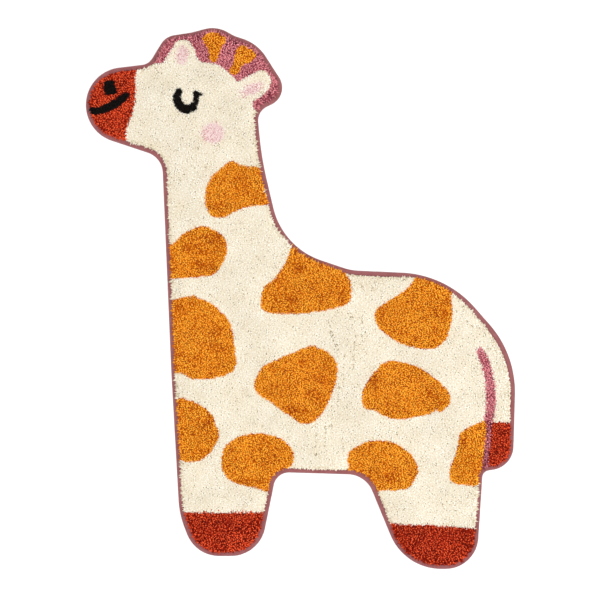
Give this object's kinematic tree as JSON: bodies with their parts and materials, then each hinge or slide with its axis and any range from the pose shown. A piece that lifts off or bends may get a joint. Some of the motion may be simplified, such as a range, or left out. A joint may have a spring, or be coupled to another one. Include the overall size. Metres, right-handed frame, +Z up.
{
  "type": "animal shaped kids rug",
  "caption": "Flat rug of short cut cotton pile in the outline of a giraffe seen from the side, with a folded cotton tape bound round its rim.",
  "frame": {"origin": "centre of the rug's bounding box, on the floor that it lies on", "axes": "+Z up from the floor, +Y towards the top of the head, +X towards the tail"},
  "size_m": [0.7138, 0.8999, 0.0146],
  "materials": {
    "cotton_pile": "short cut pile of cotton yarn, cream with ochre, brick red, dusty mauve, pale pink and black areas",
    "cotton_tape": "plain woven cotton tape in dusty mauve, matt"
  },
  "bodies": {
    "root": {"pile_panel": "cotton_pile", "edge_binding": "cotton_tape"}
  },
  "joints": []
}
